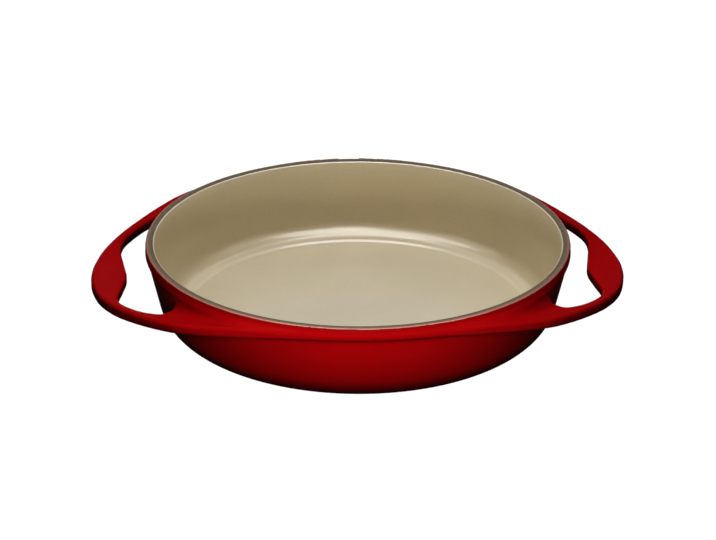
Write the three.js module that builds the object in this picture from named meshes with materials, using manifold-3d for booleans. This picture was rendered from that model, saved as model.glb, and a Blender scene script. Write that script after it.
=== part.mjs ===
// Enamelled cast-iron tarte tatin pan: a shallow flared bowl with two loop
// handles, a coat of enamel outside, another inside, and a bare ground coat on
// the rim. Millimetres, +Z up. The origin is the centre of the foot, on the
// surface that the pan stands on. +X runs through the middle of a handle.
import * as THREE from "three";
import { LoftGeometry } from "three/addons/geometries/LoftGeometry.js";
import { mergeVertices } from "three/addons/utils/BufferGeometryUtils.js";
import Module from "manifold-3d";

// ---------------------------------------------------------------- dimensions
// Bowl, finished surfaces
const HEIGHT = 53.4; // rim land above the foot
const RIM_R = 130; // outside of the rim lip
const LIP_LOW = 46.3; // where the lip ends on the outside
const LIP_PROUD = 1.1; // how far the lip stands out from the wall
const WALL_SLOPE = THREE.MathUtils.degToRad(13); // outside wall from the vertical
const CORNER_R = 20.7; // outside radius between wall and foot
const FLOOR_Z = 4.5; // cooking surface above the foot
const FLOOR_FILLET = 13; // inside radius between floor and wall
const INNER_SLOPE = THREE.MathUtils.degToRad(11); // inside wall from the vertical
const INNER_RIM_R = 125.9; // where the inside enamel ends on the rim
const INNER_EDGE = 1.3; // width of the rounded edge between wall and rim inside
const FOOT_IN_R = 80; // inner edge of the flat ring that the pan stands on
const FOOT_RECESS = 0.8; // the underside inside that ring is this much higher
const RIM_COAT_LOW = 52.4; // lower edge of the ground coat on the outside

// Coats
const ENAMEL = 0.4; // thickness of every fired coat
const JOIN = 0.1; // free space between neighbouring solids

// Handle ring: the loop handles and the narrow flange that links them. Each
// radial section is level, and the ring droops towards the handles.
const RING_TOP = 52.2; // top of the flange at front and back centre
const RING_TOP_DROOP = 7.62e-4; // per mm of the outline's x squared
const RING_LOW = 46.45; // underside at front and back centre
const RING_LOW_DROOP = 8.5e-4; // likewise
const RING_ROUND = 2.3; // edge rounding of a section
const RING_INNER_R = 121; // hidden inside the wall, trimmed by the bowl
// one quarter of the plan outline, from the handle's tip to the front centre
const OUTLINE = [
  [163.65, 0],
  [162.2, 15.85],
  [157, 35.6],
  [147.4, 55],
  [135.2, 72],
  [121.5, 87.75],
  [107.9, 99.8],
  [88.1, 110.35],
  [60, 122],
  [30, 129.4],
  [0, 131.9],
];
// one quarter of the finger hole's handle side: the grip's inward bump, the
// notch and the strut
const HOLE = [
  [141.85, 0],
  [143.8, 15.7],
  [146.15, 34.2],
  [144.1, 47.5],
  [136.3, 60.25],
  [128.55, 68.8],
  [121.2, 73.95],
];
// the hole's end, from the strut in to the wall, and for each point the
// direction in degrees of the outline point across from it
const HOLE_END = [
  [118.15, 74.1, 33.6],
  [115, 70.8, 35.4],
  [111.2, 64.3, 37.6],
  [107.1, 60, 40.2],
];

// Facets
const TURN = 48; // steps round the bowl
const ARC = 4; // steps along a fillet
const GRIP_STEPS = 14; // per quarter, along the finger hole
const FLANGE_STEPS = 8; // per quarter, from the hole's end to the centre
const ROUND_STEPS = 2; // on each edge of a section

// ------------------------------------------------------------------- solids
const wasm = await Module();
wasm.setup();

// A closed geometry as a solid, with its faces turned outwards.
function solid(geometry) {
  const g = new THREE.BufferGeometry();
  g.setAttribute("position", geometry.getAttribute("position"));
  g.setIndex(geometry.index);
  const m = mergeVertices(g, 1e-4);
  const p = m.attributes.position.array;
  const keep = [];
  let volume = 0;
  for (let i = 0; i < m.index.count; i += 3) {
    const [a, b, c] = [0, 1, 2].map((k) => m.index.array[i + k]);
    if (a === b || b === c || c === a) continue;
    keep.push(a, b, c);
    const [u, v, w] = [a, b, c].map((k) =>
      new THREE.Vector3().fromArray(p, 3 * k),
    );
    volume += u.dot(v.cross(w));
  }
  if (volume < 0)
    for (let i = 0; i < keep.length; i += 3)
      [keep[i + 1], keep[i + 2]] = [keep[i + 2], keep[i + 1]];
  return new wasm.Manifold(
    new wasm.Mesh({
      numProp: 3,
      vertProperties: new Float32Array(p),
      triVerts: new Uint32Array(keep),
    }),
  );
}

function geometryOf(made) {
  const m = made.getMesh();
  const g = new THREE.BufferGeometry();
  g.setAttribute(
    "position",
    new THREE.BufferAttribute(new Float32Array(m.vertProperties), 3),
  );
  g.setIndex(new THREE.BufferAttribute(new Uint32Array(m.triVerts), 1));
  g.computeVertexNormals();
  return g;
}

// Turns a profile of [radius, height] about the upright axis.
const turned = (profile) =>
  solid(
    new THREE.LatheGeometry(
      profile.map(([r, z]) => new THREE.Vector2(Math.max(r, 0), z)),
      TURN,
    ).rotateX(Math.PI / 2),
  );

// --------------------------------------------------------------- bowl profile
const sin = Math.sin(WALL_SLOPE),
  cos = Math.cos(WALL_SLOPE),
  tan = Math.tan(WALL_SLOPE);
const WALL_TOP = [RIM_R - LIP_PROUD, LIP_LOW - 1.1];
// the corner's centre is CORNER_R inside the wall's line and above the foot
const CORNER_C =
  WALL_TOP[0] + ((CORNER_R - WALL_TOP[1]) * sin - CORNER_R) / cos;
// the outside wall's radius at a height, d inside the finished surface
const wallR = (z, d) => WALL_TOP[0] - (WALL_TOP[1] - z) * tan - d / cos;

// Points on the bottom corner, d inside the finished surface, from the wall
// down to the foot, or only as far down as the height `low`.
function corner(d, low = d) {
  const R = CORNER_R - d;
  const end = Math.asin(Math.min(1, (CORNER_R - low) / R));
  const out = [];
  for (let i = 0; i <= ARC + 1; i++) {
    const t = WALL_SLOPE + ((end - WALL_SLOPE) * i) / (ARC + 1);
    out.push([CORNER_C + R * Math.cos(t), CORNER_R - R * Math.sin(t)]);
  }
  return out;
}

// The outside from the lip down to the foot, d inside the finished surface.
const outside = (d, top, low = d) => [
  [RIM_R - d, top],
  [RIM_R - d, LIP_LOW + 0.4 * d],
  [wallR(WALL_TOP[1] + 0.4 * d, d), WALL_TOP[1] + 0.4 * d],
  ...corner(d, low),
];

// The inside from the axis over the floor and up to the rim, d into the iron.
function wallInR(z) {
  // inside wall line, which reaches the rim's inner edge at the top
  return (
    INNER_RIM_R - INNER_EDGE - (HEIGHT - 1 - z) * Math.tan(INNER_SLOPE)
  );
}
const cosIn = Math.cos(INNER_SLOPE);
const FLOOR_R = wallInR(FLOOR_Z + FLOOR_FILLET) - FLOOR_FILLET / cosIn;
function inside(d) {
  const R = FLOOR_FILLET + d;
  const c = [FLOOR_R, FLOOR_Z + FLOOR_FILLET];
  const pts = [[0, FLOOR_Z - d]];
  for (let i = 0; i <= ARC + 1; i++) {
    const t = Math.PI / 2 + ((INNER_SLOPE - Math.PI / 2) * i) / (ARC + 1);
    pts.push([c[0] + R * Math.cos(t), c[1] - R * Math.sin(t)]);
  }
  pts.push([wallInR(HEIGHT - 1) + d / cosIn, HEIGHT - 1 - 0.4 * d]);
  return pts;
}

// ------------------------------------------------------------- bowl solids
const BARE = ENAMEL + JOIN; // depth of the iron below the finished surface
const SKIN_LOW = 1.2; // the outside coat ends here, the underside's begins

const bowlCasting = turned([
  ...inside(BARE),
  [INNER_RIM_R + 0.35, HEIGHT - BARE],
  [RIM_R - 1.15, HEIGHT - BARE],
  [RIM_R - BARE, HEIGHT - 0.98],
  ...outside(BARE, RIM_COAT_LOW - 0.05),
  [FOOT_IN_R + 0.4, BARE],
  [FOOT_IN_R - 0.8, FOOT_RECESS + BARE],
  [0, FOOT_RECESS + BARE],
]);

const interiorCoat = turned([
  ...inside(0),
  [INNER_RIM_R, HEIGHT - 0.05],
  [INNER_RIM_R, HEIGHT - ENAMEL],
  ...inside(ENAMEL).reverse(),
]);

const rimCoat = turned([
  [INNER_RIM_R + JOIN, HEIGHT - ENAMEL],
  [RIM_R - 1.05, HEIGHT - ENAMEL],
  [RIM_R - ENAMEL, HEIGHT - 0.96],
  [RIM_R - ENAMEL, RIM_COAT_LOW],
  [RIM_R, RIM_COAT_LOW],
  [RIM_R, HEIGHT - 0.75],
  [RIM_R - 0.75, HEIGHT],
  [INNER_RIM_R + JOIN, HEIGHT],
  [INNER_RIM_R + JOIN, HEIGHT - ENAMEL],
]);

const cornerLow = (d, low) => corner(d, d).filter(([, z]) => z < low - 0.02);
const cornerAt = (d, z) => [
  CORNER_C +
    Math.sqrt((CORNER_R - d) ** 2 - (CORNER_R - z) ** 2),
  z,
];
const baseCoat = turned([
  [0, FOOT_RECESS],
  [FOOT_IN_R - 1.2, FOOT_RECESS],
  [FOOT_IN_R, 0],
  [CORNER_C, 0],
  ...cornerLow(0, SKIN_LOW - JOIN).reverse().slice(1),
  cornerAt(0, SKIN_LOW - JOIN),
  cornerAt(ENAMEL, SKIN_LOW - JOIN),
  [CORNER_C, ENAMEL],
  [FOOT_IN_R + 0.3, ENAMEL],
  [FOOT_IN_R - 0.9, FOOT_RECESS + ENAMEL],
  [0, FOOT_RECESS + ENAMEL],
]);

// The bowl as a plain plug, d inside its finished outside, for cutting.
const plug = (d, top, low) =>
  turned([[0, low], ...outside(d, top, low).reverse(), [0, top]]);

// ------------------------------------------------------------- handle ring
// Fine points of the smooth curve through one quarter's points, which crosses
// the X axis at right angles.
function fine(points) {
  const mirrored = points.slice(1, 4).reverse();
  return new THREE.SplineCurve([
    ...mirrored.map(([x, y]) => new THREE.Vector2(x, -y)),
    ...points.map(([x, y]) => new THREE.Vector2(x, y)),
  ])
    .getPoints(1600)
    .filter((p) => p.y >= -1e-6);
}

// Even steps along a polyline.
function even(line, n) {
  const along = [0];
  for (let i = 1; i < line.length; i++)
    along.push(along[i - 1] + line[i].distanceTo(line[i - 1]));
  const out = [];
  let k = 0;
  for (let i = 0; i <= n; i++) {
    const s = (along[along.length - 1] * i) / n;
    while (k < along.length - 2 && along[k + 1] < s) k++;
    const f = (s - along[k]) / (along[k + 1] - along[k] || 1);
    out.push(line[k].clone().lerp(line[k + 1], f));
  }
  return out;
}

const outlineFine = fine(OUTLINE);
// The outline's point in a direction from the centre, in radians from +X.
function outlineAt(t) {
  if (t <= 0) return new THREE.Vector2(...OUTLINE[0]);
  if (t >= Math.PI / 2 - 1e-9)
    return new THREE.Vector2(...OUTLINE[OUTLINE.length - 1]);
  const k = Math.max(
    1,
    outlineFine.findIndex((p) => Math.atan2(p.y, p.x) >= t),
  );
  const [a, b] = [outlineFine[k - 1], outlineFine[k]];
  const [ta, tb] = [a, b].map((p) => Math.atan2(p.y, p.x));
  return a.clone().lerp(b, (t - ta) / (tb - ta));
}

// Stations round one quarter: a point on the inner edge and one across from it
// on the outline.
const stations = even(fine(HOLE), GRIP_STEPS).map((p) => [
  p,
  outlineAt(Math.max(0, Math.atan2(p.y, p.x))),
]);
stations[0][0].y = 0;
for (const [x, y, degrees] of HOLE_END)
  stations.push([
    new THREE.Vector2(x, y),
    outlineAt(THREE.MathUtils.degToRad(degrees)),
  ]);
const endAngle = THREE.MathUtils.degToRad(HOLE_END[HOLE_END.length - 1][2]);
for (let i = 1; i <= FLANGE_STEPS; i++) {
  const f = i / FLANGE_STEPS;
  const tIn = THREE.MathUtils.lerp(endAngle - 0.06, Math.PI / 2, f);
  stations.push([
    new THREE.Vector2(Math.cos(tIn), Math.sin(tIn)).multiplyScalar(
      RING_INNER_R,
    ),
    outlineAt(THREE.MathUtils.lerp(endAngle, Math.PI / 2, f)),
  ]);
}

// All round: the quarter and its three mirror images, counter-clockwise.
const flip = (list, sx, sy) =>
  list.map((pair) => pair.map((p) => new THREE.Vector2(sx * p.x, sy * p.y)));
const allRound = [
  ...stations,
  ...flip(stations.slice(0, -1).reverse(), -1, 1),
  ...flip(stations.slice(1), -1, -1),
  ...flip(stations.slice(1, -1).reverse(), 1, -1),
];

// Unit normals of a closed loop that runs counter-clockwise, pointing outwards.
const normals = (loop) =>
  loop.map((_, i) => {
    const t = loop[(i + 1) % loop.length]
      .clone()
      .sub(loop[(i + loop.length - 1) % loop.length])
      .normalize();
    return new THREE.Vector2(t.y, -t.x);
  });
const innerLoop = allRound.map((pair) => pair[0]),
  outerLoop = allRound.map((pair) => pair[1]);
const innerN = normals(innerLoop),
  outerN = normals(outerLoop);

const A2 = OUTLINE[0][0] ** 2,
  B2 = OUTLINE[OUTLINE.length - 1][1] ** 2;
// the square of the outline's x in a point's direction from the centre
const outX2 = (p) => (A2 * B2 * p.x ** 2) / (B2 * p.x ** 2 + A2 * p.y ** 2);

// The ring, d inside its finished surface, lofted through rounded sections.
function ring(d) {
  const sections = allRound.map((_, i) => {
    const a = innerLoop[i].clone().addScaledVector(innerN[i], d);
    const b = outerLoop[i].clone().addScaledVector(outerN[i], -d);
    const across = b.clone().sub(a).normalize();
    const r = RING_ROUND - d;
    const section = [];
    // outer top, inner top, inner low, outer low: each edge is a quarter turn
    for (const [q, turn] of [
      [b, 0],
      [a, 1],
      [a, 2],
      [b, 3],
    ]) {
      const outer = turn === 0 || turn === 3,
        top = turn < 2;
      for (let k = 0; k <= ROUND_STEPS; k++) {
        const t = ((turn + k / ROUND_STEPS) * Math.PI) / 2;
        const side = (outer ? -r : r) + r * Math.cos(t);
        const p = q.clone().addScaledVector(across, side);
        const z = top
          ? RING_TOP - RING_TOP_DROOP * outX2(p) - d - r
          : RING_LOW - RING_LOW_DROOP * outX2(p) + d + r;
        section.push(new THREE.Vector3(p.x, p.y, z + r * Math.sin(t)));
      }
    }
    return section;
  });
  return solid(new LoftGeometry([...sections, sections[0]]));
}

const box = (size, at) =>
  solid(new THREE.BoxGeometry(...size).translate(...at));

const ringFinished = ring(0);
const ringUnderCoat = ring(ENAMEL);
const ringIron = ring(BARE);
const plugUnderCoat = plug(ENAMEL, HEIGHT + 5, ENAMEL);

const exteriorCoat = plug(0, RIM_COAT_LOW - JOIN, SKIN_LOW)
  .add(ringFinished)
  .subtract(plugUnderCoat)
  .subtract(ringUnderCoat);

const handleCasting = ringIron
  .subtract(plugUnderCoat)
  .subtract(box([400, 400, 200], [-200 + JOIN / 2 + 0.05, 0, 0]));

// -------------------------------------------------------------------- scene
const iron = () =>
  new THREE.MeshStandardMaterial({
    color: 0x3a3a3c,
    roughness: 0.75,
    metalness: 0.8,
  });
const red = () =>
  new THREE.MeshStandardMaterial({
    color: 0xa50508,
    roughness: 0.14,
    metalness: 0,
  });
const sand = () =>
  new THREE.MeshStandardMaterial({
    color: 0xc9bb98,
    roughness: 0.32,
    metalness: 0,
  });
const ground = () =>
  new THREE.MeshStandardMaterial({
    color: 0x3d3b37,
    roughness: 0.7,
    metalness: 0,
  });
const under = () =>
  new THREE.MeshStandardMaterial({
    color: 0x5c0507,
    roughness: 0.3,
    metalness: 0,
  });

function piece(name, made, material) {
  const mesh = new THREE.Mesh(geometryOf(made), material);
  mesh.name = name;
  return mesh;
}

const pan = new THREE.Group();
pan.name = "tarte_tatin_pan";

const castings = new THREE.Group();
castings.add(piece("bowl_casting", bowlCasting, iron()));
castings.add(piece("handle_casting_right", handleCasting, iron()));
const left = piece("handle_casting_left", handleCasting, iron());
left.rotation.z = Math.PI;
castings.add(left);
pan.add(castings);

const coats = new THREE.Group();
coats.add(piece("exterior_enamel", exteriorCoat, red()));
coats.add(piece("interior_enamel", interiorCoat, sand()));
coats.add(piece("rim_ground_coat", rimCoat, ground()));
coats.add(piece("base_enamel", baseCoat, under()));
pan.add(coats);

export default pan;
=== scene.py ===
import math

import bmesh
import bpy
import numpy as np
from mathutils import Matrix, Vector


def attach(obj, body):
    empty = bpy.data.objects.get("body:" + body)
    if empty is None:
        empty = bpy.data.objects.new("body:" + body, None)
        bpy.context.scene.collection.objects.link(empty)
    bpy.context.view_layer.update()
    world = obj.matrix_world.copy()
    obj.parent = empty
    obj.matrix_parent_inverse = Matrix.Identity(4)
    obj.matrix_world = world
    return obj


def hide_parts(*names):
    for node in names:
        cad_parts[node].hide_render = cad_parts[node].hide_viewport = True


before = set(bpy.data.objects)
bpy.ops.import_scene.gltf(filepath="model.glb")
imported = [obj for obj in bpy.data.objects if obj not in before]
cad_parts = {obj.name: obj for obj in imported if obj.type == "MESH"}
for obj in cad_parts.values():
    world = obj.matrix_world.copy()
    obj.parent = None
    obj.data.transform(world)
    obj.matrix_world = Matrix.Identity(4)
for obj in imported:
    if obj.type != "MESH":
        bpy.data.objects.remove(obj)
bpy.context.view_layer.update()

scene = bpy.context.scene
MM = 0.001

# ---------------------------------------------------------------- dimensions
# millimetres, in the frame of the castings: +Z up, origin under the foot
HEIGHT = 53.4
RIM_R = 130.0
WALL_TOP = (128.9, 45.2)
SLOPE = math.radians(13)
CORNER_R = 20.7
FLOOR_Z = 4.5
IN_SLOPE = math.radians(11)
IN_TOP = (124.6, 52.4)  # a point of the inside wall's line
FOOT_IN_R = 80.0
FOOT_RECESS = 0.8
ENAMEL = 0.4
TAN, SIN, COS = math.tan(SLOPE), math.sin(SLOPE), math.cos(SLOPE)
CORNER_C = WALL_TOP[0] + ((CORNER_R - WALL_TOP[1]) * SIN - CORNER_R) / COS
SKIN_LOW = 1.2  # the red coat ends here and the underside's begins

# rim: a plain collar with a rounded top, red on its outer shoulder, bare
# ground coat on top
RIM_TOP = 53.3
SHOULDER_R = 2.0
RED_TOP = 52.97
LIP_LOW = 45.9
LIP_ROUND = 1.4

# handle ring
RING_TOP, RING_TOP_DROOP = 52.2, 7.62e-4
RING_LOW, RING_LOW_DROOP = 46.45, 8.5e-4
RING_ROUND = 2.3
OUTLINE = [(163.65, 0), (162.2, 15.85), (157, 35.6), (147.4, 55), (135.2, 72),
           (121.5, 87.75), (107.9, 99.8), (88.1, 110.35), (60, 121.75), (30, 128.9),
           (0, 131.22)]
HOLE = [(141.85, 0), (143.8, 15.7), (146.15, 34.2), (144.1, 47.5), (136.3, 60.25),
        (128.55, 68.8), (121.2, 73.95), (118.15, 74.1), (115, 70.8), (111.2, 64.3),
        (107.1, 60)]
GRID = 1.2  # spacing of the skin's points


# ------------------------------------------------------------- plan distances
def spline(points, steps):
    """Smooth curve through the points, which continue past both ends."""
    p = np.array(points, float)
    out = []
    for i in range(1, len(p) - 2):
        t = np.linspace(0, 1, steps, endpoint=False)[:, None]
        p0, p1, p2, p3 = p[i - 1], p[i], p[i + 1], p[i + 2]
        v0, v1 = (p2 - p0) / 2, (p3 - p1) / 2
        out.append((2 * p1 - 2 * p2 + v0 + v1) * t ** 3
                   + (-3 * p1 + 3 * p2 - 2 * v0 - v1) * t ** 2 + v0 * t + p1)
    out.append(p[-2][None])
    return np.concatenate(out)


def outline_loop():
    q = OUTLINE
    quarter = spline([(q[1][0], -q[1][1])] + q + [(-q[-2][0], q[-2][1])], 24)
    top = np.concatenate([quarter, (quarter * [-1, 1])[::-1][1:]])
    return np.concatenate([top, (top * [1, -1])[::-1][1:-1]])


def hole_loop():
    h = HOLE
    half = spline([(h[1][0], -h[1][1])] + h + [(103, 58)], 20)
    return np.concatenate([half, (half * [1, -1])[::-1][:-1]])


def loop_distance(pts, loop):
    """Signed distance in the plane, negative inside the loop."""
    a, b = loop, np.roll(loop, -1, 0)
    ab = b - a
    l2 = np.maximum((ab ** 2).sum(1), 1e-12)
    out = np.empty(len(pts))
    for s in range(0, len(pts), 8000):
        p = pts[s:s + 8000]
        dx = p[:, None, 0] - a[None, :, 0]
        dy = p[:, None, 1] - a[None, :, 1]
        t = np.clip((dx * ab[:, 0] + dy * ab[:, 1]) / l2, 0, 1)
        d2 = (dx - t * ab[:, 0]) ** 2 + (dy - t * ab[:, 1]) ** 2
        up = a[None, :, 1] > p[:, None, 1]
        over = b[None, :, 1] > p[:, None, 1]
        cross = (up != over) & (p[:, None, 0] < a[None, :, 0]
                                + (p[:, None, 1] - a[None, :, 1]) * ab[:, 0]
                                / np.where(ab[:, 1] == 0, 1e-12, ab[:, 1]))
        inside = cross.sum(1) % 2 == 1
        out[s:s + 8000] = np.sqrt(d2.min(1)) * np.where(inside, -1, 1)
    return out


PLAN_STEP = 0.75
PLAN_NX, PLAN_NY = 236, 196  # one quarter, from 3 steps before each axis


def plan_table(loop):
    x = (np.arange(PLAN_NX) - 3) * PLAN_STEP
    y = (np.arange(PLAN_NY) - 3) * PLAN_STEP
    g = np.stack(np.meshgrid(x, y, indexing="ij"), -1).reshape(-1, 2)
    return loop_distance(g, loop).reshape(PLAN_NX, PLAN_NY)


TABLE_OUT = plan_table(outline_loop())
TABLE_HOLE = plan_table(hole_loop())


def weights(t):
    return ((-0.5 * t + t * t - 0.5 * t ** 3),
            (1 - 2.5 * t * t + 1.5 * t ** 3),
            (0.5 * t + 2 * t * t - 1.5 * t ** 3),
            (-0.5 * t * t + 0.5 * t ** 3))


def lookup(table, x, y):
    """Smooth reading of a plan table at |x|, |y|."""
    u = np.clip(np.abs(x) / PLAN_STEP + 3, 1, PLAN_NX - 3.001)
    v = np.clip(np.abs(y) / PLAN_STEP + 3, 1, PLAN_NY - 3.001)
    i, j = np.floor(u).astype(int), np.floor(v).astype(int)
    wu, wv = weights(u - i), weights(v - j)
    out = 0
    for a in range(4):
        row = 0
        for b in range(4):
            row = row + wv[b] * table[i + a - 1, j + b - 1]
        out = out + wu[a] * row
    return out


# ------------------------------------------------------------ distance fields
def bowl_field(r, z):
    """Distance to the bowl's outside as a solid plug with a rounded rim."""
    wall = (r - (WALL_TOP[0] - (WALL_TOP[1] - z) * TAN)) * COS
    qr, qz = r - CORNER_C, z - CORNER_R
    turn = np.arctan2(-qz, qr)
    body = np.where(turn < SLOPE, wall,
                    np.where(turn < math.pi / 2, np.hypot(qr, qz) - CORNER_R, -z))
    # the collar, a plain cylinder above the wall with rounded edges
    high = z > (RIM_TOP + LIP_LOW) / 2
    rho = np.where(high, SHOULDER_R, LIP_ROUND)
    ar = r - RIM_R + rho
    az = np.where(high, z - RIM_TOP, LIP_LOW - z) + rho
    lip = (np.minimum(np.maximum(ar, az), 0)
           + np.hypot(np.maximum(ar, 0), np.maximum(az, 0)) - rho)
    body = np.maximum(body, z - WALL_TOP[1] - 1.8)
    return smooth_min(body, lip, 1.6)


def smooth_min(a, b, k):
    h = np.maximum(k - np.abs(a - b), 0) / k
    return np.minimum(a, b) - h * h * k * 0.25


A2, B2 = OUTLINE[0][0] ** 2, OUTLINE[-1][1] ** 2


def droop(x, y):
    x2, y2 = x * x, y * y
    return A2 * B2 * x2 / np.maximum(B2 * x2 + A2 * y2, 1e-6)


def ring_field(x, y, z, d_out, d_hole):
    plan = np.maximum(d_out, -d_hole)
    o = droop(x, y)
    top = RING_TOP - RING_TOP_DROOP * o
    low = RING_LOW - RING_LOW_DROOP * o
    mid, half = (top + low) / 2, (top - low) / 2
    rr = RING_ROUND
    qx = plan + rr
    qz = np.abs(z - mid) - half + rr
    return (np.minimum(np.maximum(qx, qz), 0)
            + np.hypot(np.maximum(qx, 0), np.maximum(qz, 0)) - rr)


def fillet(x):
    s = np.clip((np.abs(x) - 30) / 75, 0, 1)
    return 4.4 + 2.1 * s * s * (3 - 2 * s)


def skin_field(x, y, z):
    d_out, d_hole = lookup(TABLE_OUT, x, y), lookup(TABLE_HOLE, x, y)
    return smooth_min(bowl_field(np.hypot(x, y), z),
                      ring_field(x, y, z, d_out, d_hole), fillet(x))


def gradient(p, e=0.02):
    x, y, z = p.T
    g = np.stack([
        skin_field(x + e, y, z) - skin_field(x - e, y, z),
        skin_field(x, y + e, z) - skin_field(x, y - e, z),
        skin_field(x, y, z + e) - skin_field(x, y, z - e)], 1) / (2 * e)
    return g


# -------------------------------------------------------------- surface finder
def surface_points(step):
    """Quads on the zero surface of the skin field."""
    xs = np.arange(-166.2, 166.3, step)
    ys = np.arange(-135, 135.1, step)
    zs = np.arange(-2.4, 60, step)
    gx, gy = np.meshgrid(xs, ys, indexing="ij")
    d_out, d_hole = lookup(TABLE_OUT, gx, gy), lookup(TABLE_HOLE, gx, gy)
    rad, k = np.hypot(gx, gy), fillet(gx)
    f = np.empty((len(xs), len(ys), len(zs)), np.float32)
    for n, z in enumerate(zs):
        zz = np.full_like(gx, z)
        f[:, :, n] = smooth_min(bowl_field(rad, zz),
                                ring_field(gx, gy, zz, d_out, d_hole), k)
    inside = f < 0
    count = np.zeros(tuple(s - 1 for s in f.shape), np.int8)
    for a in (0, 1):
        for b in (0, 1):
            for c in (0, 1):
                count += inside[a:f.shape[0] - 1 + a, b:f.shape[1] - 1 + b,
                                c:f.shape[2] - 1 + c]
    cells = np.argwhere((count > 0) & (count < 8))
    index = np.full(count.shape, -1, np.int64)
    index[tuple(cells.T)] = np.arange(len(cells))
    total = np.zeros((len(cells), 3))
    hits = np.zeros(len(cells))
    for axis in range(3):
        others = [n for n in range(3) if n != axis]
        for a in (0, 1):
            for b in (0, 1):
                o = np.zeros(3, int)
                o[others[0]], o[others[1]] = a, b
                p0 = cells + o
                step1 = np.zeros(3, int)
                step1[axis] = 1
                p1 = p0 + step1
                f0, f1 = f[tuple(p0.T)], f[tuple(p1.T)]
                ok = (f0 < 0) != (f1 < 0)
                t = np.where(ok, f0 / np.where(ok, f0 - f1, 1), 0)
                pos = p0 + t[:, None] * step1
                total += np.where(ok[:, None], pos, 0)
                hits += ok
    verts = total / hits[:, None] * step + np.array([xs[0], ys[0], zs[0]])
    quads = []
    for axis in range(3):
        u, v = (axis + 1) % 3, (axis + 2) % 3
        lo = [slice(None)] * 3
        hi = [slice(None)] * 3
        lo[axis], hi[axis] = slice(0, -1), slice(1, None)
        change = inside[tuple(lo)] != inside[tuple(hi)]
        e = np.argwhere(change)
        n = np.array(count.shape)
        keep = (e[:, u] > 0) & (e[:, u] < n[u]) & (e[:, v] > 0) & (e[:, v] < n[v])
        e = e[keep]
        first_in = inside[tuple(e.T)]
        ids = []
        for du, dv in ((-1, -1), (0, -1), (0, 0), (-1, 0)):
            c = e.copy()
            c[:, u] += du
            c[:, v] += dv
            ids.append(index[tuple(c.T)])
        q = np.stack(ids, 1)
        q[~first_in] = q[~first_in][:, ::-1]
        quads.append(q)
    return verts, np.concatenate(quads)


def mesh_object(name, verts, faces, normals=None):
    me = bpy.data.meshes.new(name)
    me.from_pydata([tuple(v) for v in np.asarray(verts, float) * MM], [],
                   [tuple(int(i) for i in f) for f in faces])
    me.validate()
    for p in me.polygons:
        p.use_smooth = True
    if normals is not None:
        me.normals_split_custom_set_from_vertices([tuple(n) for n in normals])
    me.update()
    ob = bpy.data.objects.new(name, me)
    scene.collection.objects.link(ob)
    return ob


# ------------------------------------------------------------------ turned pieces
def arc(cr, cz, radius, start, end, steps):
    """Points of an arc in the (radius, height) plane, angles in degrees."""
    return [(cr + radius * math.cos(math.radians(start + (end - start) * i / steps)),
             cz + radius * math.sin(math.radians(start + (end - start) * i / steps)))
            for i in range(steps + 1)]


def turned(name, profile, around=288, wobble=None):
    """A closed profile of (radius, height) turned about the upright axis.
    wobble(angle, i) gives a shift (dr, dz) of profile point i."""
    t = np.arange(around) * 2 * math.pi / around
    verts, rows = [], []
    for i, (r, z) in enumerate(profile):
        if r < 1e-6:
            rows.append([len(verts)])
            verts.append((0, 0, z))
            continue
        dr, dz = wobble(t, i) if wobble else (0 * t, 0 * t)
        rows.append(list(range(len(verts), len(verts) + around)))
        verts.extend(zip((r + dr) * np.cos(t), (r + dr) * np.sin(t), z + dz))
    faces = []
    n = len(rows)
    for i in range(n):
        a, b = rows[i], rows[(i + 1) % n]
        if len(a) == 1 and len(b) == 1:
            continue
        for k in range(around):
            m = (k + 1) % around
            if len(a) == 1:
                faces.append((a[0], b[k], b[m]))
            elif len(b) == 1:
                faces.append((a[k], b[0], a[m]))
            else:
                faces.append((a[k], b[k], b[m], a[m]))
    v = np.array(verts)
    vol = 0.0
    for f in faces:
        for i in range(1, len(f) - 1):
            vol += np.dot(v[f[0]], np.cross(v[f[i]], v[f[i + 1]]))
    if vol < 0:
        faces = [f[::-1] for f in faces]
    return mesh_object(name, v, faces)


def ripple(t, seed, amount):
    """A small smooth unevenness round a ring."""
    rng = np.random.default_rng(seed)
    out = 0 * t
    for n in range(2, 26):
        out = out + rng.normal() / n ** 0.7 * np.cos(n * t + rng.uniform(0, 6.28))
    return amount * out / 2.5


# ----------------------------------------------------------------- outside skin
def outside_radius(z, iterations=20):
    """Radius of the plain bowl at a height, by the field itself."""
    r = 129.0
    for _ in range(iterations):
        f = float(bowl_field(np.array([r]), np.array([z]))[0])
        g = float((bowl_field(np.array([r + .01]), np.array([z]))[0]
                   - bowl_field(np.array([r - .01]), np.array([z]))[0]) / .02)
        r -= f / (g if abs(g) > 0.05 else 0.05) * 0.9
    return r


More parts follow.
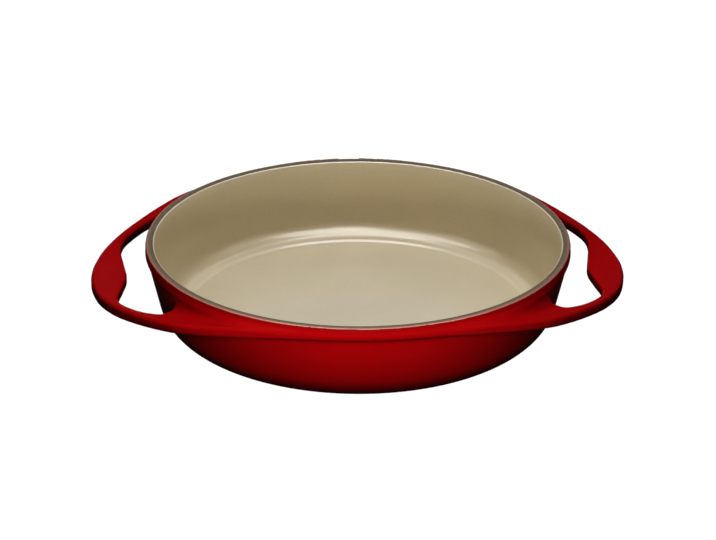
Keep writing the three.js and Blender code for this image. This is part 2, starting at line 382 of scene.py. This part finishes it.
def make_skin():
    v, q = surface_points(GRID)
    for _ in range(5):
        g = gradient(v)
        f = skin_field(*v.T)
        v = v - g * np.clip(f / np.maximum((g ** 2).sum(1), 0.2), -1, 1)[:, None]
    me = bpy.data.meshes.new("skin_work")
    me.from_pydata([tuple(p) for p in v], [], [tuple(int(i) for i in f) for f in q])
    bm = bmesh.new()
    bm.from_mesh(me)
    bpy.data.meshes.remove(me)
    cuts = []
    for z, side in ((RED_TOP, 1), (SKIN_LOW, -1)):
        out = bmesh.ops.bisect_plane(
            bm, geom=bm.verts[:] + bm.edges[:] + bm.faces[:], dist=1e-5,
            plane_co=(0, 0, z), plane_no=(0, 0, side), clear_outer=True)
        cuts.append((z, outside_radius(z)))
    bmesh.ops.dissolve_degenerate(bm, dist=0.02, edges=bm.edges[:])
    bm.verts.index_update()
    for vert in bm.verts:
        for z, r in cuts:
            if abs(vert.co.z - z) < 1e-3:
                k = r / math.hypot(vert.co.x, vert.co.y)
                vert.co.x *= k
                vert.co.y *= k
                vert.co.z = z
    verts = np.array([tuple(x.co) for x in bm.verts])
    faces = [[x.index for x in f.verts] for f in bm.faces]
    edge = {}
    for f in faces:
        for a, b in zip(f, f[1:] + f[:1]):
            edge[(a, b)] = True
    rims = [[], []]
    for a, b in edge:
        if (b, a) not in edge:
            for n, (z, r) in enumerate(cuts):
                if abs(verts[a][2] - z) < 1e-3 and abs(verts[b][2] - z) < 1e-3:
                    rims[n].append(a)
    bm.free()
    normals = gradient(verts)
    normals /= np.linalg.norm(normals, axis=1)[:, None]
    # the inner face of the coat on the bowl, so that the piece is closed
    around = 240
    t = np.arange(around) * 2 * math.pi / around
    prof = [(outside_radius(RED_TOP) - 0.5, RED_TOP - 0.12),
            (RIM_R - ENAMEL, 51.6), (RIM_R - ENAMEL, 46.6)]
    prof += [(WALL_TOP[0] - (WALL_TOP[1] - z) * TAN - ENAMEL / COS, z)
             for z in (45.2, 36, 26)]
    prof += arc(CORNER_C, CORNER_R, CORNER_R - ENAMEL, -13, -68, 10)
    low_r = CORNER_C + math.sqrt((CORNER_R - ENAMEL) ** 2 - (CORNER_R - SKIN_LOW) ** 2)
    prof.append((low_r, SKIN_LOW))
    base = len(verts)
    inner, inner_n = [], []
    for r, z in prof:
        inner.extend(zip(r * np.cos(t), r * np.sin(t), np.full(around, z)))
        inner_n.extend(zip(-np.cos(t), -np.sin(t), np.full(around, 0.2)))
    for i in range(len(prof) - 1):
        for k in range(around):
            m = (k + 1) % around
            a, b = base + i * around, base + (i + 1) * around
            faces.append((a + k, a + m, b + m, b + k))
    verts = np.concatenate([verts, np.array(inner)])
    normals = np.concatenate([normals, np.array(inner_n)])

    def zip_up(loop, ring, flip):
        """Triangles between two closed rings about the axis."""
        ang = lambda i: math.atan2(verts[i][1], verts[i][0]) % (2 * math.pi)
        loop = sorted(set(loop), key=ang)
        ring = sorted(ring, key=ang)
        i = j = 0
        n, m = len(loop), len(ring)
        while i < n or j < m:
            a, b = loop[i % n], ring[j % m]
            ai = ang(loop[(i + 1) % n]) + (2 * math.pi if i + 1 >= n else 0)
            bj = ang(ring[(j + 1) % m]) + (2 * math.pi if j + 1 >= m else 0)
            if j >= m or (i < n and ai <= bj):
                f = (a, loop[(i + 1) % n], b)
                i += 1
            else:
                f = (a, ring[(j + 1) % m], b)
                j += 1
            faces.append(f if flip else f[::-1])

    last = base + (len(prof) - 1) * around
    zip_up(rims[0], range(base, base + around), True)
    zip_up(rims[1], range(last, last + around), False)
    return mesh_object("red_exterior_enamel", verts, faces, normals)


red = make_skin()


# -------------------------------------------------------------- inside and rim
def wall_in_r(z):
    return IN_TOP[0] - (IN_TOP[1] - z) * math.tan(IN_SLOPE)


EDGE_R = 0.85  # roll of the inside enamel over to the rim
EDGE_Z = 51.85
edge_low = EDGE_Z + EDGE_R * math.sin(IN_SLOPE)
edge_c = (wall_in_r(edge_low) + EDGE_R * math.cos(IN_SLOPE), EDGE_Z)


def floor_curve():
    """From the flat floor over a low step and round the fillet to the wall,
    as (r, z, slope); the slope is followed along the curve."""
    knots = [(0.0, 0.0), (0.8, 0.30), (1.7, 0.50), (2.6, 0.42), (3.6, 0.21),
             (4.6, 0.18), (5.4, 0.27)]
    wall = math.pi / 2 - IN_SLOPE
    rho = 11.6
    knots += [(5.4 + rho * (wall - 0.27) * k / 12, 0.27 + (wall - 0.27) * k / 12)
              for k in range(1, 13)]
    ks, ka = np.array(knots).T
    n = 400
    along = np.linspace(0, ks[-1], n + 1)
    slope = np.interp(along, ks, ka)
    soft = np.ones(9) / 9
    slope[8:-8] = np.convolve(np.pad(slope, 4, mode="edge"), soft, "valid")[8:-8]
    ds = along[1]
    mid = (slope[1:] + slope[:-1]) / 2
    r = np.concatenate([[0], np.cumsum(np.cos(mid)) * ds])
    z = FLOOR_Z + np.concatenate([[0], np.cumsum(np.sin(mid)) * ds])
    r += wall_in_r(z[-1]) - r[-1]  # the fillet ends on the wall's line
    return r, z, slope


CURVE = floor_curve()


def inside_profile(d):
    """The inside from the axis to the rim's inner edge, d into the iron."""
    r, z, slope = CURVE
    pts = [(0, FLOOR_Z - d)]
    pts += [(x, FLOOR_Z - d) for x in (12, 30, 50, 68, 82, 93)]
    pick = np.unique(np.concatenate([np.arange(0, 100, 4 if d == 0 else 20),
                                     np.arange(100, 401, 10 if d == 0 else 30), [400]]))
    pts += [(r[i] + d * math.sin(slope[i]), z[i] - d * math.cos(slope[i])) for i in pick]
    z0, top = pts[-1][1], edge_low - d * math.sin(IN_SLOPE)
    pts += [(wall_in_r(z0 + (top - z0) * i / 12) + d / math.cos(IN_SLOPE),
             z0 + (top - z0) * i / 12) for i in range(1, 13)]
    return pts


tip = math.degrees(IN_SLOPE)
roll = arc(edge_c[0], edge_c[1], EDGE_R, 180 - tip, 88, 14)[1:]
roll_low = arc(edge_c[0], edge_c[1], EDGE_R - ENAMEL, 88, 180 - tip, 8)[:-1]
interior = turned("sand_interior_enamel",
                  inside_profile(0) + roll + roll_low
                  + inside_profile(ENAMEL)[::-1])

# ground coat over the rim's top, thin and a little uneven at its edges
ang0 = math.degrees(math.asin((RED_TOP - (RIM_TOP - SHOULDER_R)) / SHOULDER_R))
shoulder = arc(RIM_R - SHOULDER_R, RIM_TOP - SHOULDER_R, SHOULDER_R + 0.075, ang0 - 5, 90, 10)
inner_edge = roll[-1]
top_line = [(127.4, RIM_TOP + 0.05), (126.8, RIM_TOP - 0.09), (126.35, RIM_TOP - 0.30),
            (inner_edge[0] + 0.16, inner_edge[1] + 0.13),
            (inner_edge[0] - 0.02, inner_edge[1] + 0.03)]
under = [(inner_edge[0] + 0.12, inner_edge[1] - 0.08), (126.35, 52.93), (127.4, 52.95),
         (128.7, 52.95), (shoulder[0][0] - 0.2, shoulder[0][1] - 0.06)]
rim_profile = shoulder + top_line + under
n_sh, n_tl = len(shoulder), len(top_line)


def rim_wobble(t, i):
    if i <= 3:
        a = ripple(t, 11, 0.09) * (1 - i / 4)
        return 0.55 * a, -0.9 * a
    if n_sh + n_tl - 2 <= i < n_sh + n_tl:
        a = ripple(t, 23, 0.09)
        return a, 0.1 * a
    return 0 * t, 0 * t


rim = turned("rim_ground_coat_ring", rim_profile, 360, rim_wobble)

# ------------------------------------------------------------------- underside
edge_t = -math.degrees(math.asin((CORNER_R - SKIN_LOW + 0.05) / CORNER_R))
under_out = [(0, FOOT_RECESS + 0.25), (10, FOOT_RECESS + 0.25), (40, FOOT_RECESS + 0.12),
             (60, FOOT_RECESS + 0.03), (74, FOOT_RECESS)]
under_out += [(77.2, FOOT_RECESS - 0.02), (78.2, FOOT_RECESS - 0.12), (79.0, FOOT_RECESS - 0.4),
              (79.6, 0.14), (80.4, 0.03), (81.4, 0.0), (88, 0.0), (95, 0.0)]
under_out += arc(CORNER_C, CORNER_R, CORNER_R, -90, edge_t, 8)
under_in = arc(CORNER_C, CORNER_R, CORNER_R - ENAMEL, edge_t, -90, 6)
under_in += [(81.4, ENAMEL), (80.0, ENAMEL + 0.1), (78.6, FOOT_RECESS + ENAMEL),
             (60, FOOT_RECESS + ENAMEL + 0.03), (0, FOOT_RECESS + ENAMEL + 0.25)]
base = turned("underside_enamel", under_out + under_in, 240)


# ------------------------------------------------------------------- materials
class Nodes:
    """Small helper for writing a node tree."""

    def __init__(self, name):
        self.mat = bpy.data.materials.new(name)
        self.mat.use_nodes = True
        self.tree = self.mat.node_tree
        self.tree.nodes.clear()
        self.out = self.add("ShaderNodeOutputMaterial")
        self.bsdf = self.add("ShaderNodeBsdfPrincipled")
        self.link(self.bsdf.outputs["BSDF"], self.out.inputs["Surface"])
        self.coord = self.add("ShaderNodeTexCoord").outputs["Object"]

    def add(self, kind, **props):
        n = self.tree.nodes.new(kind)
        for k, v in props.items():
            setattr(n, k, v)
        return n

    def link(self, a, b):
        self.tree.links.new(a, b)

    def noise(self, scale, detail=3.0, rough=0.5, vector=None):
        n = self.add("ShaderNodeTexNoise")
        n.inputs["Scale"].default_value = scale
        n.inputs["Detail"].default_value = detail
        n.inputs["Roughness"].default_value = rough
        self.link(vector or self.coord, n.inputs["Vector"])
        return n.outputs["Fac"]

    def ramp(self, fac, stops):
        n = self.add("ShaderNodeValToRGB")
        e = n.color_ramp.elements
        while len(e) < len(stops):
            e.new(0.5)
        for item, (pos, col) in zip(e, stops):
            item.position = pos
            item.color = (*col, 1) if len(col) == 3 else col
        self.link(fac, n.inputs["Fac"])
        return n.outputs["Color"]

    def span(self, value, a, b, c, d):
        n = self.add("ShaderNodeMapRange")
        n.inputs["From Min"].default_value = a
        n.inputs["From Max"].default_value = b
        n.inputs["To Min"].default_value = c
        n.inputs["To Max"].default_value = d
        self.link(value, n.inputs["Value"])
        return n.outputs["Result"]

    def mix(self, fac, a, b, kind="MIX"):
        n = self.add("ShaderNodeMix", data_type="RGBA", blend_type=kind)
        for socket, value in ((n.inputs[0], fac), (n.inputs[6], a), (n.inputs[7], b)):
            if isinstance(value, (int, float)):
                socket.default_value = value
            elif isinstance(value, tuple):
                socket.default_value = (*value, 1)
            else:
                self.link(value, socket)
        return n.outputs[2]

    def math(self, op, a, b=None):
        n = self.add("ShaderNodeMath", operation=op)
        for socket, value in zip(n.inputs, (a, b)):
            if value is None:
                continue
            if isinstance(value, (int, float)):
                socket.default_value = value
            else:
                self.link(value, socket)
        return n.outputs[0]

    def xyz(self):
        n = self.add("ShaderNodeSeparateXYZ")
        self.link(self.coord, n.inputs[0])
        return n.outputs

    def radius(self):
        x, y, _ = self.xyz()
        return self.math("SQRT", self.math("ADD", self.math("MULTIPLY", x, x),
                                           self.math("MULTIPLY", y, y)))

    def upward(self):
        n = self.add("ShaderNodeSeparateXYZ")
        self.link(self.add("ShaderNodeTexCoord").outputs["Normal"], n.inputs[0])
        return n.outputs[2]

    def outward(self):
        n = self.add("ShaderNodeVectorMath", operation="DOT_PRODUCT")
        self.link(self.add("ShaderNodeTexCoord").outputs["Normal"], n.inputs[0])
        self.link(self.coord, n.inputs[1])
        return n.outputs["Value"]

    def bump(self, height, strength, distance):
        n = self.add("ShaderNodeBump")
        n.inputs["Strength"].default_value = strength
        n.inputs["Distance"].default_value = distance
        self.link(height, n.inputs["Height"])
        self.link(n.outputs["Normal"], self.bsdf.inputs["Normal"])

    def set(self, **values):
        for k, v in values.items():
            self.bsdf.inputs[k.replace("_", " ")].default_value = v


def red_enamel():
    m = Nodes("cherry_enamel")
    z = m.xyz()[2]
    # painted shade: the red is coloured darker towards the foot, where the wall turns under away
    # from the lights, and darker in bands at the flange's sides and under the rim's shoulder
    painted_shade_stops = [(0, 0.035), (6, 0.075), (10, 0.148), (15, 0.250), (22, 0.344), (32, 0.435),
              (40, 0.466), (46.3, 0.398), (48.8, 0.456), (50.2, 0.450), (51.5, 0.35),
              (52.6, 0.27), (56, 0.25)]
    height = m.ramp(m.span(z, 0.0, 0.056, 0, 1),
                    [(mm / 56, (v, 0.0022 * v + 0.0002, 0.0050 * v + 0.0004)) for mm, v in painted_shade_stops])
    cloud = m.noise(38, 3, 0.55)
    fine = m.noise(420, 2, 0.5)
    tone = m.mix(m.span(cloud, 0.35, 0.65, 0, 0.30), height, (0.80, 0.80, 0.80), "MULTIPLY")
    tone = m.mix(m.span(fine, 0.60, 0.8, 0, 0.40), tone, (1.22, 1.6, 1.4), "MULTIPLY")
    # painted shade: round the handles, the faces that turn away from the lights (the inner walls
    # of the finger holes, and the outer flanks and edges facing down) are coloured near black
    away = m.span(m.outward(), -0.02, 0.05, 0, 1)
    painted_flank_shade = m.math("ADD",
                   m.math("MULTIPLY", m.span(m.upward(), -0.02, 0.64, 0.90, 0),
                          m.span(m.outward(), -0.02, 0.05, 1, 0)),
                   m.math("MULTIPLY", m.span(m.upward(), -0.45, 0.42, 0.90, 0), away))
    painted_flank_shade = m.math("MULTIPLY", painted_flank_shade, m.span(m.radius(), 0.1316, 0.1340, 0, 1))
    painted_flank_shade = m.math("MULTIPLY", painted_flank_shade,
                   m.span(m.math("ABSOLUTE", m.xyz()[0], 0.0), 0.085, 0.115, 0, 1))
    tone = m.mix(painted_flank_shade, tone, (0.022, 0.0002, 0.0003))
    # painted highlight: the red on the rim's rounded shoulder is coloured pale pink-red, standing
    # in for the light's highlight along that edge
    painted_shoulder_highlight = m.span(m.math("ADD", z, m.math("MULTIPLY", m.noise(160, 2, 0.5), 0.0004)),
                  0.0526, 0.0530, 0, 0.92)
    painted_shoulder_highlight = m.math("MULTIPLY", painted_shoulder_highlight, m.span(m.radius(), 0.12965, 0.1300, 1, 0))
    tone = m.mix(painted_shoulder_highlight, tone, (0.76, 0.40, 0.285))
    m.link(tone, m.bsdf.inputs["Base Color"])
    m.link(m.span(m.noise(90, 3, 0.6), 0.3, 0.7, 0.30, 0.38), m.bsdf.inputs["Roughness"])
    m.set(Specular_IOR_Level=0.16, IOR=1.5)
    m.bump(m.math("ADD", m.noise(330, 2, 0.45), m.math("MULTIPLY", m.noise(95, 2, 0.5), 1.6)),
           0.05, 0.001)
    return m.mat


def sand_enamel():
    m = Nodes("sand_enamel")
    cloud = m.noise(30, 3, 0.55)
    grain = m.noise(700, 2, 0.5)
    z = m.xyz()[2]
    # painted light: the floor is coloured paler and greyer than the walls, standing in for its
    # sheen, and the walls deeper and warmer, standing in for light bounced between them
    wall = m.ramp(m.span(cloud, 0.3, 0.7, 0, 1),
                  [(0.0, (0.542, 0.443, 0.261)), (1.0, (0.572, 0.470, 0.281))])
    flat = m.ramp(m.span(cloud, 0.3, 0.7, 0, 1),
                  [(0.0, (0.544, 0.464, 0.309)), (1.0, (0.574, 0.491, 0.333))])
    tone = m.mix(m.span(z, 0.0046, 0.0110, 1, 0), wall, flat)
    tone = m.mix(m.span(grain, 0.45, 0.75, 0, 0.22), tone, (1.12, 1.13, 1.16), "MULTIPLY")
    tone = m.mix(m.span(grain, 0.55, 0.25, 0, 0.22), tone, (0.88, 0.87, 0.84), "MULTIPLY")
    # paler towards the rim: partly the enamel's own paler edge, partly a painted glow below the
    # lit roll of the inner edge
    pale_edge_and_glow = m.span(z, 0.0470, 0.0520, 0, 0.24)
    tone = m.mix(pale_edge_and_glow, tone, (0.80, 0.75, 0.62))
    m.link(tone, m.bsdf.inputs["Base Color"])
    m.link(m.span(m.noise(70, 3, 0.6), 0.2, 0.8, 0.305, 0.345), m.bsdf.inputs["Roughness"])
    m.set(Specular_IOR_Level=0.36, IOR=1.5, Coat_Weight=0.45, Coat_Roughness=0.11)
    m.bump(m.math("ADD", m.noise(600, 2, 0.5), m.noise(130, 2, 0.5)), 0.03, 0.001)
    return m.mat


def ground_coat():
    m = Nodes("dark_ground_coat")
    a, b = m.noise(260, 4, 0.6), m.noise(1800, 2, 0.6)
    tone = m.ramp(m.span(a, 0.3, 0.7, 0, 1),
                  [(0.0, (0.080, 0.058, 0.035)), (1.0, (0.134, 0.096, 0.058))])
    tone = m.mix(m.span(b, 0.58, 0.72, 0, 0.35), tone, (0.24, 0.175, 0.115))
    # the red reaches over the shoulder onto the rim's outer edge, and is coloured pale pink-red
    # there as a painted highlight on the rounded edge
    reach = m.math("ADD", m.radius(), m.math("MULTIPLY", m.noise(150, 2, 0.5), 0.0005))
    edge = m.ramp(m.span(reach, 0.1283, 0.1295, 0, 1),
                  [(0.0, (0.17, 0.106, 0.072)), (0.55, (0.27, 0.143, 0.099)),
                   (1.0, (0.52, 0.260, 0.184))])
    tone = m.mix(m.span(reach, 0.1277, 0.1283, 0, 0.95), tone, edge)
    m.link(tone, m.bsdf.inputs["Base Color"])
    m.link(m.span(a, 0.3, 0.7, 0.60, 0.76), m.bsdf.inputs["Roughness"])
    m.set(Specular_IOR_Level=0.06, IOR=1.5)
    m.bump(m.math("ADD", b, m.noise(520, 3, 0.6)), 0.18, 0.0006)
    return m.mat


def base_enamel():
    m = Nodes("underside_enamel")
    r = m.radius()
    cloud, fine = m.noise(45, 4, 0.6), m.noise(900, 3, 0.6)
    tone = m.ramp(m.span(cloud, 0.3, 0.7, 0, 1),
                  [(0.0, (0.17, 0.0020, 0.0030)), (1.0, (0.27, 0.0026, 0.0036))])
    ring = m.math("MULTIPLY", m.span(r, 0.0795, 0.0815, 0, 1), m.span(r, 0.0985, 0.101, 1, 0))
    worn = m.math("MULTIPLY", ring, m.span(m.noise(240, 5, 0.7), 0.46, 0.62, 0, 0.8))
    tone = m.mix(worn, tone, (0.060, 0.022, 0.020))
    tone = m.mix(m.span(fine, 0.66, 0.8, 0, 0.3), tone, (0.34, 0.010, 0.010))
    m.link(tone, m.bsdf.inputs["Base Color"])
    m.link(m.math("ADD", m.span(cloud, 0.3, 0.7, 0.22, 0.32), m.math("MULTIPLY", worn, 0.35)),
           m.bsdf.inputs["Roughness"])
    m.set(Specular_IOR_Level=0.5, IOR=1.5, Coat_Weight=0.2, Coat_Roughness=0.12)
    m.bump(m.math("ADD", m.noise(330, 3, 0.5), m.noise(90, 2, 0.5)), 0.10, 0.001)
    return m.mat


def cast_iron():
    m = Nodes("bare_cast_iron")
    a, b = m.noise(180, 5, 0.65), m.noise(1500, 3, 0.6)
    tone = m.ramp(m.span(a, 0.3, 0.7, 0, 1),
                  [(0.0, (0.030, 0.030, 0.031)), (1.0, (0.075, 0.073, 0.072))])
    tone = m.mix(m.span(b, 0.6, 0.75, 0, 0.3), tone, (0.14, 0.13, 0.12))
    m.link(tone, m.bsdf.inputs["Base Color"])
    m.link(m.span(b, 0.3, 0.7, 0.6, 0.8), m.bsdf.inputs["Roughness"])
    m.set(Metallic=0.8)
    m.bump(m.math("ADD", a, b), 0.35, 0.0008)
    return m.mat


IRON = cast_iron()
for name in ("bowl_casting", "handle_casting_left", "handle_casting_right"):
    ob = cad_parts[name]
    ob.data.materials.clear()
    ob.data.materials.append(IRON)

for ob, mat, slot, nodes in (
        (red, red_enamel(), "red_enamel", ("exterior_enamel",)),
        (interior, sand_enamel(), "sand_enamel", ("interior_enamel",)),
        (rim, ground_coat(), "rim_ground_coat", ("rim_ground_coat",)),
        (base, base_enamel(), "base_enamel", ("base_enamel",))):
    ob.data.materials.append(mat)
    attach(ob, "root")
    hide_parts(*nodes)

# ----------------------------------------------------------------------- stage
floor_me = bpy.data.meshes.new("floor")
S = 6.0
floor_me.from_pydata([(-S, -S, -0.0004), (S, -S, -0.0004), (S, S, -0.0004), (-S, S, -0.0004)],
                     [], [(0, 1, 2, 3)])
floor = bpy.data.objects.new("floor", floor_me)
scene.collection.objects.link(floor)
fm = bpy.data.materials.new("pale_floor")
fm.use_nodes = True
ft = fm.node_tree
ft.nodes.clear()
f_out = ft.nodes.new("ShaderNodeOutputMaterial")
f_mix = ft.nodes.new("ShaderNodeMixShader")
f_glow = ft.nodes.new("ShaderNodeEmission")
f_clear = ft.nodes.new("ShaderNodeBsdfTransparent")
f_geo = ft.nodes.new("ShaderNodeNewGeometry")
f_glow.inputs["Strength"].default_value = 1.05
ft.links.new(f_geo.outputs["Backfacing"], f_mix.inputs["Fac"])
ft.links.new(f_glow.outputs[0], f_mix.inputs[1])
ft.links.new(f_clear.outputs[0], f_mix.inputs[2])
ft.links.new(f_mix.outputs[0], f_out.inputs["Surface"])
floor_me.materials.append(fm)
floor.visible_diffuse = False
floor.visible_glossy = False
floor.visible_shadow = False

world = bpy.data.worlds.new("studio")
scene.world = world
world.use_nodes = True
wt = world.node_tree
wt.nodes.clear()
w_out = wt.nodes.new("ShaderNodeOutputWorld")
w_mix = wt.nodes.new("ShaderNodeMixShader")
w_path = wt.nodes.new("ShaderNodeLightPath")
w_dim = wt.nodes.new("ShaderNodeBackground")
w_white = wt.nodes.new("ShaderNodeBackground")
w_dim.inputs["Color"].default_value = (1, 1, 1, 1)
w_dim.inputs["Strength"].default_value = 0.008
w_white.inputs["Color"].default_value = (1, 1, 1, 1)
w_white.inputs["Strength"].default_value = 1.05
wt.links.new(w_path.outputs["Is Camera Ray"], w_mix.inputs["Fac"])
wt.links.new(w_dim.outputs[0], w_mix.inputs[1])
wt.links.new(w_white.outputs[0], w_mix.inputs[2])
wt.links.new(w_mix.outputs[0], w_out.inputs["Surface"])


# ---------------------------------------------------------------------- lights
# one set of lights for the outside, one for the inside and the rim, and a soft
# panel below for the underside
outside_lit = bpy.data.collections.new("outside_lit")
inside_lit = bpy.data.collections.new("inside_lit")
under_lit = bpy.data.collections.new("under_lit")
under_lit.objects.link(base)
for ob in (red, base):
    outside_lit.objects.link(ob)
for ob in (interior, rim):
    inside_lit.objects.link(ob)


def soft_light(name, lit, azimuth, elevation, distance, size, power, aim=(0, 0, 0.03),
               round_=True, mirrored=None):
    """A soft panel for the pieces in lit. Azimuth 0 is in front, on -Y, and 90
    is on +X. mirrored: True for a card that only shows as a reflection, False
    for a light that does not."""
    a, e = math.radians(azimuth), math.radians(elevation)
    d = Vector((math.sin(a) * math.cos(e), -math.cos(a) * math.cos(e), math.sin(e)))
    data = bpy.data.lights.new(name, "AREA")
    data.shape = "ELLIPSE" if round_ else "RECTANGLE"
    data.size, data.size_y = size
    data.energy = power
    ob = bpy.data.objects.new(name, data)
    ob.location = Vector(aim) + d * distance
    ob.rotation_mode = "QUATERNION"
    ob.rotation_quaternion = d.to_track_quat("Z", "Y")
    scene.collection.objects.link(ob)
    ob.visible_camera = False
    if mirrored is True:
        ob.visible_diffuse = False
    elif mirrored is False:
        ob.visible_glossy = False
    ob.light_linking.receiver_collection = lit
    return ob


FRONT_WALL = (0, -0.115, 0.035)
for name, az, el, dist, size, power, round_, aim in (
        ("red_top", -3, 88, 1.2, (0.8, 0.8), 0.60, True, (0, 0, 0.03)),
        ("red_back_top", -165, 60, 1.2, (0.6, 0.4), 3.7, False, (0, 0, 0.03)),
        ("red_front_high", -7, 65, 1.2, (0.3, 0.3), 0.82, True, (0, 0, 0.03)),
        ("red_front", 0, 50, 1.2, (0.3, 0.3), 0.92, True, (0, 0, 0.03)),
        ("red_front_low", 9, 5, 1.2, (0.3, 0.2), 0.34, True, (0, 0, 0.03)),
        ("red_right", 60, 45, 1.2, (0.4, 0.4), 0.05, True, (0, 0, 0.03)),
        ("red_front_near", -5, 27, 0.28, (0.08, 0.08), 0.65, True, FRONT_WALL),
        ("red_left_hand", -90, 84, 0.7, (0.3, 0.3), 1.0, True, (0, 0, 0.03)),
        ("red_right_back", 150, 12, 1.2, (0.5, 0.3), 1.2, False, (0, 0, 0.03)),
        ("red_left_back", -163, 12, 1.2, (0.5, 0.3), 1.6, False, (0, 0, 0.03)),
        ("red_back_low", 177, 4, 1.2, (0.6, 0.2), 2.2, False, (0, 0, 0.03))):
    soft_light(name, outside_lit, az, el, dist, size, power, aim, round_, False)
soft_light("under_panel", under_lit, 20, -70, 1.0, (0.8, 0.8), 7.0, (0, 0, 0.0), True, None)

for name, az, el, dist, size, power, round_, mirrored in (
        ("sand_top", -3, 88, 1.2, (0.8, 0.8), 7.5, True, False),
        ("sand_front_low", -3, 5, 1.2, (0.3, 0.1), 4.3, False, False),
        ("sand_back_top", 177, 60, 1.2, (0.6, 0.4), 3.7, False, False),
        ("sand_left", -80, 40, 1.2, (0.5, 0.4), 0.45, False, False),
        ("disc_card", -1, 72, 1.3, (1.9, 1.1), 12.0, True, True),
        ("disc_low_card", 1, 58, 1.3, (0.5, 0.6), 3.9, True, True),
        ("top_card", -25, 83, 1.2, (2.0, 0.8), 22.4, True, True),
        ("back_card", 177, 33, 1.3, (1.2, 0.45), 1.5, False, True),
        ("back_card_mid", 177, 45, 1.3, (0.8, 0.5), 5.0, False, True),
        ("back_card_high", 177, 65, 1.3, (0.6, 0.6), 12.0, False, True),
        ("front_card", -3, 30, 1.3, (1.0, 0.4), 0.84, False, True),
        ("right_card", 84, 42, 1.3, (1.0, 0.8), 3.4, False, True),
        ("left_card", -88, 42, 1.3, (1.0, 0.8), 4.2, False, True)):
    soft_light(name, inside_lit, az, el, dist, size, power, (0, 0, 0.03), round_, mirrored)

# ---------------------------------------------------------------------- camera
ELEV, DIST, FOCAL, ROLL = 0.423901, 1.8100, 2941.57, 0.00396
SHIFT_PX = (-0.143, 2.491)
YAW = math.radians(2.85)
turn = Matrix.Rotation(-YAW, 3, "Z")
fwd = turn @ Vector((0, math.cos(ELEV), -math.sin(ELEV)))
up0 = turn @ Vector((0, math.sin(ELEV), math.cos(ELEV)))
right0 = turn @ Vector((1, 0, 0))
right = right0 * math.cos(ROLL) + up0 * math.sin(ROLL)
up = up0 * math.cos(ROLL) - right0 * math.sin(ROLL)
cam_data = bpy.data.cameras.new("camera")
cam_data.sensor_fit = "HORIZONTAL"
cam_data.sensor_width = 36
cam_data.lens = FOCAL * 36 / 716
cam_data.shift_x = -SHIFT_PX[0] / 716
cam_data.shift_y = SHIFT_PX[1] / 716
cam_data.clip_start, cam_data.clip_end = 0.05, 50
cam = bpy.data.objects.new("camera", cam_data)
m3 = Matrix((right, up, -fwd)).transposed()
cam.matrix_world = Matrix.Translation(Vector((0, 0, 0.03)) - fwd * DIST) @ m3.to_4x4()
scene.collection.objects.link(cam)
scene.camera = cam
scene.view_settings.view_transform = "Standard"
scene.view_settings.look = "None"
